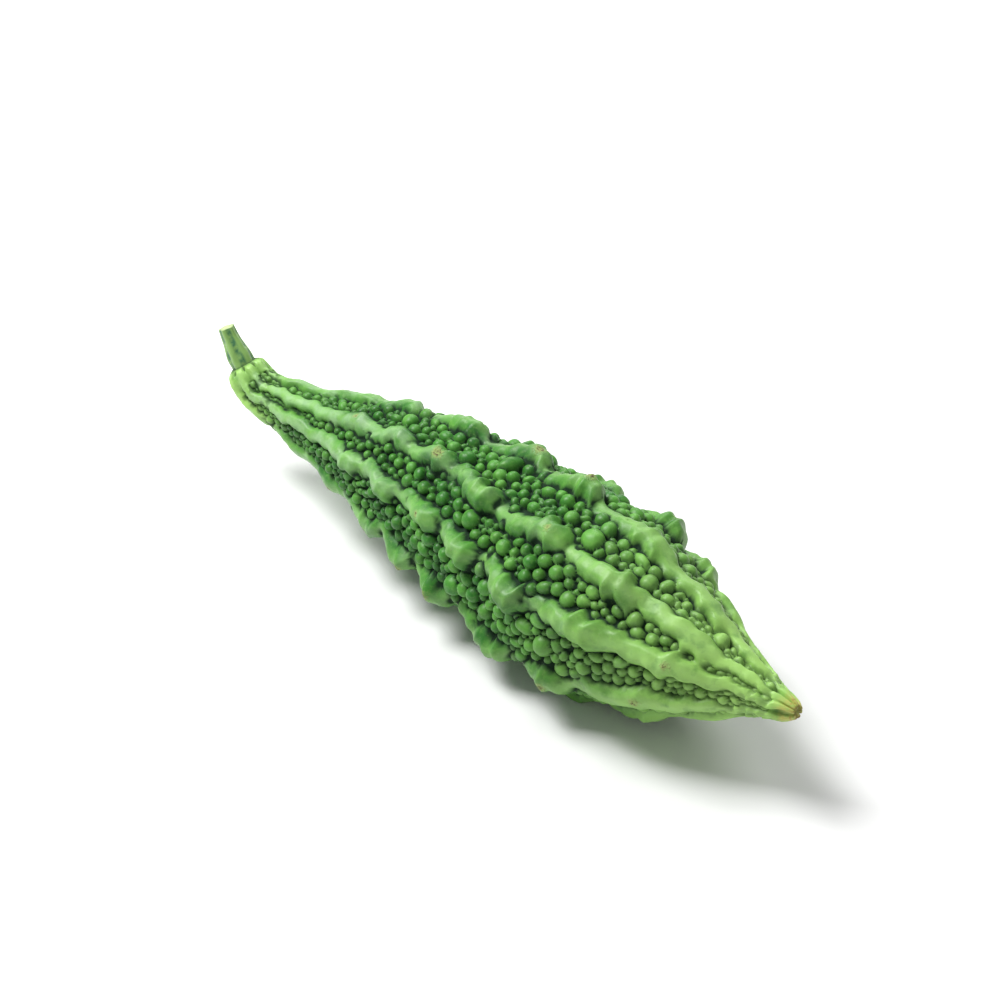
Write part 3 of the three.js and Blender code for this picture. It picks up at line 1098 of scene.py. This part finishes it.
def mesh_from(name: str, points: Array, faces: list[tuple[int, ...]]) -> Mesh:
    """Makes a mesh.

    Args:
        name: Its name.
        points: Its vertices in millimetres, one a row.
        faces: Its faces, as vertex numbers.

    Returns:
        The mesh, in metres.
    """
    mesh = bpy.data.meshes.new(name)
    mesh.from_pydata((points * MM).tolist(), [], faces)
    mesh.validate()
    return mesh


def finished_piece(name: str, mesh: Mesh, material: bpy.types.Material) -> Object:
    """Dresses a mesh in one material, smoothly shaded.

    Args:
        name: The piece's name.
        mesh: Its mesh.
        material: The material.

    Returns:
        The finished piece.
    """
    mesh.materials.clear()
    mesh.materials.append(material)
    mesh.shade_smooth()
    return linked_object(name, mesh)


def closed_tube(rings: int, sides: int) -> list[tuple[int, ...]]:
    """Numbers the faces of a tube that is closed at both ends by a fan.

    Args:
        rings: How many rings its vertices make, one after another.
        sides: How many vertices a ring has. Two more, after the rings, are the middles of both ends.

    Returns:
        The faces, which point outwards where the rings turn right handed about the tube's direction.
    """
    first = rings * sides
    end = first - sides
    faces: list[tuple[int, ...]] = []
    for i in range(sides):
        j = (i + 1) % sides
        faces.append((first, j, i))
        faces.append((first + 1, end + i, end + j))
        faces.extend((r + i, r + j, r + sides + j, r + sides + i) for r in range(0, end, sides))
    return faces


def place_numbers(mesh: Mesh, name: str, values: Array) -> None:
    """Gives each vertex a number that the materials read."""
    attribute = mesh.attributes.new(name, "FLOAT", "POINT")
    attribute.data.foreach_set("value", values.astype(np.float32))


def vertices_of(mesh: Mesh) -> Array:
    """Reads a mesh's vertices.

    Args:
        mesh: The mesh.

    Returns:
        Their places in millimetres, one a row.
    """
    rows = np.empty(len(mesh.vertices) * 3, np.float32)
    mesh.vertices.foreach_get("co", rows)
    return rows.reshape(-1, 3).astype(float) / MM


@dataclass
class SkinGrid:
    """The skin on a fine grid of places and angles, held as distances from the bent axis."""

    form: GourdForm
    cell: float = 0.37
    draft_cell: float = 0.8
    widest: float = 24.0
    pit_depth: float = 0.8
    look_around: float = 1.3
    plain_tint: float = 0.3
    tint_seed: int = 11
    least_standing: Curve = Curve((0, 0.4), (40, 0.5), (60, 0.72), (130, 0.72), (150, 0.45), (200, 0.3))
    groove_depth: float = 0.45
    groove_width: float = 0.9
    shoulder: Curve = Curve((0, 3.65), (0.5, 4.5), (1.2, 5.3), (2.4, 6.4), (4, 12))
    slit_reach: float = 2.2
    slit_depth: Curve = Curve((0, 1.2), (25, 1.1), (50, 1.9), (75, 2.4), (140, 2), (155, 1.15), (200, 0.8))
    softening_rounds: int = 4
    places: Array = field(init=False)
    angles: Array = field(init=False)
    place: Array = field(init=False)
    angle: Array = field(init=False)
    origin: Array = field(init=False)
    ray: Array = field(init=False)
    distance: Array = field(init=False)
    below: Array = field(init=False)
    groove: Array = field(init=False)
    tint: Array = field(init=False)

    def __post_init__(self) -> None:
        """Lays the grid on the flesh."""
        cell = self.cell
        self.places = np.linspace(0, self.form.length, round(self.form.length / cell))
        self.angles = np.linspace(0, TURN, round(TURN * self.widest / cell), endpoint=False)
        self.place, self.angle = np.meshgrid(self.places, self.angles, indexing="ij")
        self.origin = self.form.axis_point(self.places)
        self.ray = self.form.outward(self.place, self.angle)
        self.distance = self.form.flesh_radius(self.place)
        self.below = np.zeros_like(self.distance)
        self.tint = np.full_like(self.distance, self.plain_tint)

    def raise_ridges(self, ridges: Ridges, valley_depth: float) -> None:
        """Raises the ridges, and lifts the floors of valleys that are too narrow to carry warts.

        Args:
            ridges: The ridges.
            valley_depth: How far the valleys between them lie under the flesh.
        """
        heights = ridges.heights(self.place.ravel(), self.angle.ravel(), -valley_depth)
        self.distance = self.distance + heights.reshape(self.distance.shape)
        for row, radius in enumerate(self.form.girth_radius(self.places)):
            reach = round(self.slit_reach / (radius * self.angles[1]))
            ring = self.distance[row]
            sums = np.cumsum(np.concatenate(((0,), ring[-reach:], ring, ring[:reach])))
            span = 2 * reach + 1
            around = (sums[span:] - sums[:-span]) / span
            self.distance[row] = np.maximum(ring, around - self.slit_depth(self.places[row]))

    def soften(self) -> None:
        """Rounds the edges of the ridges and lobes over."""
        for _ in range(self.softening_rounds):
            beside = np.roll(self.distance, 1, axis=1) + np.roll(self.distance, -1, axis=1)
            across = beside / 4 + self.distance / 2
            self.distance[1:-1] = (across[:-2] + across[2:]) / 4 + across[1:-1] / 2

    def crossings(self, bumps: Bumps) -> Iterator[tuple[tuple[Array, ...], Array]]:
        """Finds where lines from the axis leave each bump.

        Args:
            bumps: The bumps.

        Returns:
            An iterator over the grid window of each bump, and the distances there, 0 beside the bump.
        """
        place, angle, distance = self.form.locate(bumps.centre)
        reach = self.look_around * bumps.size.max(axis=1)
        across = np.cross(bumps.up, bumps.along)
        along = np.cross(across, bumps.up)
        axes = np.stack((unit(along), unit(across), unit(bumps.up)), axis=2) / bumps.size[:, None, :]
        for i, centre in enumerate(bumps.centre):
            rows = np.flatnonzero(np.abs(self.places - place[i]) < reach[i])
            turns = np.abs(turn_between(angle[i], self.angles)) * distance[i]
            window = np.ix_(rows, np.flatnonzero(turns < reach[i]))
            start = ((self.origin[rows] - centre) @ axes[i])[:, None]
            ray = self.ray[window] @ axes[i]
            steepness = (ray**2).sum(axis=-1)
            middle = -(start * ray).sum(axis=-1) / steepness
            under = middle**2 - ((start**2).sum(axis=-1) - 1) / steepness
            yield window, np.where(under > 0, middle + np.sqrt(np.maximum(under, 0)), 0)

    def raise_lobes(self, lobes: Bumps, blend: float) -> None:
        """Raises the skin over lobes, which melt into it.

        Args:
            lobes: The lobes.
            blend: How far from each other's surfaces the lobes and the skin start to melt together.
        """
        for window, leaves in self.crossings(lobes):
            before = self.distance[window]
            self.distance[window] = np.where(leaves > 0, melted(before, leaves, blend), before)

    def round_shoulder(self) -> None:
        """Rounds the end of the neck over against the stem."""
        beyond = np.where(self.place < self.shoulder.places[-1], self.shoulder(self.place), np.inf)
        self.distance = np.minimum(self.distance, beyond)

    def raise_warts(self, warts: Bumps) -> None:
        """Raises the skin over warts, with a groove wherever one meets another or the skin beside it.

        Args:
            warts: The warts.
        """
        shades = np.random.default_rng(self.tint_seed).random(len(warts.centre))
        for (window, leaves), size, shade in zip(self.crossings(warts), warts.size, shades):
            before = self.distance[window]
            higher = leaves > before
            rows = window[0][:, 0]
            standing = (leaves - before).max() / size.max()
            if standing < self.least_standing(self.places[rows[len(rows) // 2]]):
                continue
            self.below[window] = np.where(higher, before, np.maximum(self.below[window], leaves))
            self.distance[window] = np.where(higher, leaves, before)
            self.tint[window] = np.where(higher, shade, self.tint[window])
        self.groove = np.exp((self.below - self.distance) / self.groove_width)
        self.distance = self.distance - self.groove_depth * self.groove

    def carrier(self) -> Object:
        """Makes an object that carries the flesh, with how far and which way the skin is raised from it.

        Returns:
            The object.
        """
        flesh = self.form.flesh_radius(self.place)
        ends = self.form.axis_point(np.array((0, self.form.length - self.pit_depth)))
        surface = self.form.beside_axis(self.place, self.angle, flesh).reshape(-1, 3)
        mesh = mesh_from("flesh", np.vstack((surface, ends)), closed_tube(*self.distance.shape))
        place_numbers(mesh, SkinTree.RELIEF, np.append((self.distance - flesh).ravel(), (0, 0)) * MM)
        outward = mesh.attributes.new(SkinTree.OUTWARD, "FLOAT_VECTOR", "POINT")
        rays = np.vstack((self.ray.reshape(-1, 3), np.zeros((2, 3))))
        outward.data.foreach_set("vector", rays.astype(np.float32).ravel())
        return linked_object("flesh", mesh)

    def read(self, values: Array, place: Array, angle: Array) -> Array:
        """Reads one of the grid's numbers between its points.

        Args:
            values: The grid's numbers.
            place: The places along the axis.
            angle: The angles round it.

        Returns:
            One number for each place.
        """
        just_short_of_last = len(self.places) - 1.001
        row = np.clip(place / self.places[1], 0, just_short_of_last)
        column = (angle % TURN) / self.angles[1]
        i, j = row.astype(int), column.astype(int) % len(self.angles)
        u, v = row - i, column % 1
        k = (j + 1) % len(self.angles)
        near = values[i, j] * (1 - v) + values[i, k] * v
        far = values[i + 1, j] * (1 - v) + values[i + 1, k] * v
        return near * (1 - u) + far * u


@dataclass
class Fruit:
    """The fruit: flesh, ridges and warts under one skin."""

    form: GourdForm
    ridges: Ridges
    warts: WartBed
    collar: Collar
    finish: SkinFinish = SkinFinish()
    valley_depth: float = 0.3
    lobe_blend: float = 0.6
    collar_blend: float = 0.3
    clasp_width: float = 1.9
    clasp_paleness: float = 0.45
    clasp_ends: Limits = (24, 14)
    most_faces: int = 190_000
    crease_rounds: int = 10
    crease_depth: float = 0.6
    # How strong the painted shade in the creases is along the fruit.
    painted_shade_strength: Curve = Curve((0, 0.7), (30, 0.85), (60, 1), (130, 1), (165, 0.72), (200, 0.4))
    paleness: Curve = Curve(
        (0, 0.75), (8, 0.42), (20, 0.2), (45, 0.06), (100, 0.04), (130, 0.1), (155, 0.38), (180, 0.8),
        (200, 1),
    )
    crest_paleness: float = 0.22
    crest_width: float = 1.3
    # How strong the painted sheen on the crests is along the fruit.
    painted_sheen: Curve = Curve((0, 0.1), (12, 0.5), (45, 0.5), (80, 0.3), (130, 0.15), (165, 0.15), (200, 0))
    scar_share: float = 0.45
    scar_radius: float = 2.3
    scar_sizes: Limits = (0.6, 1.2)
    scar_straying: float = 2.0
    scar_seed: int = 12
    dried_from: float = 194.5

    def build(self) -> Object:
        """Builds the fruit.

        Returns:
            The finished piece.
        """
        skin = self.finish.material()
        grid = SkinGrid(self.form)
        grid.raise_ridges(self.ridges, self.valley_depth)
        grid.raise_lobes(Lobes(self.ridges).bumps(), self.lobe_blend)
        grid.soften()
        grid.raise_lobes(self.collar.bumps(), self.collar_blend)
        grid.round_shoulder()
        grid.raise_warts(WartShapes().bumps(self.warts))
        carrier = grid.carrier()
        SkinTree(skin).dress(carrier)
        mesh = self.thinned(carrier)
        self.flatten_underside(mesh)
        self.mark(mesh, grid)
        return finished_piece("fruit_skin", mesh, skin)

    def thinned(self, carrier: Object) -> Mesh:
        """Takes an object's finished mesh, thinned where needed to no more than most_faces triangles.

        Args:
            carrier: The object, which is removed.

        Returns:
            The mesh, with its modifiers applied.
        """
        triangles = sum(len(face.vertices) - 2 for face in carrier.data.polygons)
        log.info("skin drawn with %d triangles", triangles)
        if triangles > self.most_faces:
            thin = carrier.modifiers.new("thin", "DECIMATE")
            thin.ratio = self.most_faces / triangles
        bpy.context.view_layer.update()
        depsgraph = bpy.context.evaluated_depsgraph_get()
        mesh = bpy.data.meshes.new_from_object(carrier.evaluated_get(depsgraph), depsgraph=depsgraph)
        bpy.data.objects.remove(carrier)
        for name in (SkinTree.RELIEF, SkinTree.OUTWARD):
            mesh.attributes.remove(mesh.attributes[name])
        return mesh

    def flatten_underside(self, mesh: Mesh) -> None:
        """Presses what reaches below the surface flat against it.

        Args:
            mesh: The skin.
        """
        spots = vertices_of(mesh)
        spots[:, 2] = np.maximum(spots[:, 2], 0)
        mesh.vertices.foreach_set("co", (spots * MM).astype(np.float32).ravel())
        mesh.update()

    def mark(self, mesh: Mesh, grid: SkinGrid) -> None:
        """Gives the skin the numbers that its finish reads.

        Args:
            mesh: The skin.
            grid: The grid that it was drawn on.
        """
        spots = vertices_of(mesh)
        place, angle, distance = self.form.locate(spots)
        relief = distance - self.form.flesh_radius(place)
        hollow = (self.neighbourhood(mesh, relief) - relief) / self.crease_depth
        # Painted shade: how far each point lies down in a hollow or a groove between warts, which the skin
        # darkens.
        painted_crease_shade = np.maximum(hollow, grid.read(grid.groove, place, angle))
        crest = self.nearness_to_crest(place, angle, relief)
        aside = turn_between(self.collar.clasp_angle, angle) * self.form.girth_radius(place)
        clasp = bell(aside, self.clasp_width) * ramp(place, *self.clasp_ends)
        paleness = self.paleness(place) + self.crest_paleness * crest + self.clasp_paleness * clasp
        place_numbers(mesh, "painted_crease_shade", np.clip(painted_crease_shade, 0, 1) * self.painted_shade_strength(place))
        place_numbers(mesh, "tint", grid.read(grid.tint, place, angle))
        place_numbers(mesh, "paleness", paleness)
        # Painted sheen: marked along the crests, strongest on the neck.
        place_numbers(mesh, "painted_sheen", self.painted_sheen(place) * crest)
        place_numbers(mesh, "scar", self.scars(spots))
        place_numbers(mesh, "dried", ramp(place, self.dried_from, self.form.length))

    def nearness_to_crest(self, place: Array, angle: Array, relief: Array) -> Array:
        """Says how near to the top of a crest points of the skin are.

        Args:
            place: Their places along the axis.
            angle: Their angles round it.
            relief: Their heights over the flesh.

        Returns:
            A number for each point, up to 1 on a crest.
        """
        crest = np.zeros_like(place)
        for ridge in self.ridges.crests:
            on = ridge.covers(place)
            near = bell(self.ridges.aside(ridge, place[on], angle[on]), self.crest_width)
            high = np.clip(relief[on] / self.ridges.crest_height(ridge, place[on]), 0, 1) ** 2
            crest[on] = np.maximum(crest[on], near * high)
        return crest

    def neighbourhood(self, mesh: Mesh, values: Array) -> Array:
        """Averages numbers over the mesh round each vertex.

        Args:
            mesh: The mesh.
            values: One number for each vertex.

        Returns:
            The averages.
        """
        ends = np.empty(len(mesh.edges) * 2, np.int32)
        mesh.edges.foreach_get("vertices", ends)
        first, second = ends.reshape(-1, 2).T
        count = len(values)
        joined = np.bincount(first, minlength=count) + np.bincount(second, minlength=count)
        for _ in range(self.crease_rounds):
            total = np.bincount(first, values[second], count) + np.bincount(second, values[first], count)
            values = (values + total) / (1 + joined)
        return values

    def scars(self, spots: Array) -> Array:
        """Marks the corky scars on the tops of some teeth.

        Args:
            spots: The skin's vertices.

        Returns:
            A number from 0 to 1 for each vertex.
        """
        random = np.random.default_rng(self.scar_seed)
        marks = np.zeros(len(spots))
        for tooth in self.ridges.teeth:
            chance, stray, size = random.random(3)
            if chance > self.scar_share:
                continue
            top = np.array([tooth.top + self.scar_straying * (stray - 0.5)])
            height = self.form.flesh_radius(top) + self.ridges.crest_height(tooth, top)
            centre = self.form.beside_axis(top, self.ridges.crest_angle(tooth, top), height)
            apart = np.linalg.norm(spots - centre, axis=1)
            radius = self.scar_radius * part_way(self.scar_sizes, size)
            marks = np.maximum(marks, np.clip(1 - apart / radius, 0, 1))
        return marks


@dataclass
class Stem:
    """The short stub of stem: ribbed, tapering, curving up out of the neck, cut flat."""

    form: GourdForm
    finish: StalkFinish = StalkFinish()
    start: float = 1.3
    length: float = 12.5
    radius: Curve = Curve((0, 3.5), (3, 3.5), (6, 3.15), (9, 2.6), (12.5, 2.3))
    ribs: int = 5
    rib_depth: float = 0.09
    wobble: float = 0.06
    wobble_length: float = 3.0
    bend_deg: float = 12.0
    cut_rim: float = 0.7
    sides: int = 80
    rings: int = 60

    def build(self) -> Object:
        """Builds the stem.

        Returns:
            The finished piece.
        """
        angles = np.linspace(0, TURN, self.sides, endpoint=False)
        ribs = np.cos(self.ribs * angles)
        rows = self.points(angles, ribs)
        mesh = mesh_from("stem_skin", rows, closed_tube(self.rings, self.sides))
        # The stem's rings turn left handed, so its faces start out pointing inwards.
        mesh.flip_normals()
        streak = np.tile(0.5 - 0.5 * ribs, self.rings)
        place_numbers(mesh, "streak", np.append(streak, (0.5, 0)))
        cut = np.zeros(len(rows))
        cut[-1] = 1
        cut[-2 - self.sides : -2] = self.cut_rim
        place_numbers(mesh, "cut", cut)
        return finished_piece("stem_skin", mesh, self.finish.material())

    def points(self, angles: Array, ribs: Array) -> Array:
        """Draws the stem ring by ring, from its base to its cut end.

        Args:
            angles: The angles of a ring's points.
            ribs: How far out of the mean the ribs stand at each angle, from -1 to 1.

        Returns:
            The points of the rings in millimetres, and after them the middles of both ends.
        """
        along = Vector(-self.form.direction(np.zeros(1))[0])
        side = Vector((-along.y, along.x, 0)).normalized()
        centre = Vector(self.form.axis_point(np.array([self.start]))[0])
        step = self.length / (self.rings - 1)
        pace = self.wobble_length
        points, middles = [], []
        for ring in range(self.rings):
            up = along.cross(side)
            spots = [(pace * math.cos(a), pace * math.sin(a), ring * step / pace) for a in angles]
            wobble = [self.wobble * noise.noise(spot) for spot in spots]
            reach = float(self.radius(ring * step)) * (1 - self.rib_depth + self.rib_depth * ribs + wobble)
            for angle, distance in zip(angles, reach):
                points.append(centre + up * math.cos(angle) * distance + side * math.sin(angle) * distance)
            middles.append(centre.copy())
            along.rotate(Quaternion(side, -math.radians(self.bend_deg) / self.rings))
            centre = centre + along * step
        return np.array([tuple(point) for point in (*points, middles[0], middles[-1])])


@dataclass(frozen=True)
class SoftBox:
    """A square soft light that faces the gourd, placed by where it stands as seen from the camera."""

    name: str
    turn_deg: float
    elevation_deg: float
    distance: float
    width: float
    watts: float


@dataclass
class Studio:
    """The camera, the lights and the pale floor."""

    target: Vector = field(default_factory=lambda: Vector((-0.0031, -0.0002, 0.0329)))
    azimuth_deg: float = 44.0
    elevation_deg: float = 35.0
    distance: float = 0.6
    lens: float = 86.2
    floor_width: float = 6.0
    sky: float = 0.33
    lights: tuple[SoftBox, ...] = (
        SoftBox("key_light", -108, 60, 0.75, 0.35, 7.4),
        SoftBox("back_light", 170, 40, 0.8, 0.4, 2.6),
    )

    def build(self) -> None:
        """Builds the studio."""
        self.add_camera()
        for light in self.lights:
            self.add_light(light)
        self.add_floor()
        self.add_sky()
        bpy.context.scene.view_settings.view_transform = "Standard"

    def stand(self, data: bpy.types.ID, turn_deg: float, elevation_deg: float, distance: float) -> Object:
        """Stands a camera or a light round the gourd, facing it.

        Args:
            data: The camera or light.
            turn_deg: How far round from the camera it stands.
            elevation_deg: How high above the floor it stands, as an angle.
            distance: How far away it stands.

        Returns:
            Its object.
        """
        azimuth, elevation = math.radians(self.azimuth_deg + turn_deg), math.radians(elevation_deg)
        level = math.cos(elevation)
        outward = Vector((math.sin(azimuth) * level, -math.cos(azimuth) * level, math.sin(elevation)))
        made = bpy.data.objects.new(data.name, data)
        made.location = self.target + outward * distance
        made.rotation_euler = (-outward).to_track_quat("-Z", "Y").to_euler()
        bpy.context.scene.collection.objects.link(made)
        return made

    def add_camera(self) -> None:
        """Places the camera at the photograph's angle."""
        camera = bpy.data.cameras.new("photo_camera")
        camera.lens = self.lens
        bpy.context.scene.camera = self.stand(camera, 0, self.elevation_deg, self.distance)

    def add_light(self, box: SoftBox) -> None:
        """Places a soft light.

        Args:
            box: The light.
        """
        light = bpy.data.lights.new(box.name, "AREA")
        light.size = box.width
        light.energy = box.watts
        self.stand(light, box.turn_deg, box.elevation_deg, box.distance)

    def add_floor(self) -> None:
        """Lays the floor."""
        half = self.floor_width / 2
        corners = [(-half, -half, 0), (half, -half, 0), (half, half, 0), (-half, half, 0)]
        mesh = bpy.data.meshes.new("floor")
        mesh.from_pydata(corners, [], [(0, 1, 2, 3)])
        mesh.materials.append(FloorFinish().material())
        linked_object("floor", mesh)

    def add_sky(self) -> None:
        """Lights everything softly from all round."""
        world = bpy.data.worlds.new("soft_sky")
        world.use_nodes = True
        background = world.node_tree.nodes["Background"]
        background.inputs["Color"].default_value = (1, 1, 1, 1)
        background.inputs["Strength"].default_value = self.sky
        bpy.context.scene.world = world


def keep(piece: Object, node: str, slot: Slot) -> None:
    """Puts a finished piece in the place of a solid.

    Args:
        piece: The piece.
        node: The solid's node.
        slot: The record's slot that its finish comes from; not used.
    """
    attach(piece, BODY)
    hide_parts(node)
    log.info("%s stands for %s, with %d faces", piece.name, node, len(piece.data.polygons))


def main() -> None:
    """Builds the gourd and its studio."""
    logging.basicConfig(level=logging.INFO, format="%(message)s")
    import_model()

    form = GourdForm()
    ridges = Ridges(form)
    warts = WartBed(form, ridges)
    log.info("%d warts between %d ridges", len(warts.kept), ridges.count)
    keep(Fruit(form, ridges, warts, Collar(ridges)).build(), "fruit", Slot.SKIN)
    keep(Stem(form).build(), "stem", Slot.STALK)
    Studio().build()


if __name__ == "__main__":
    main()
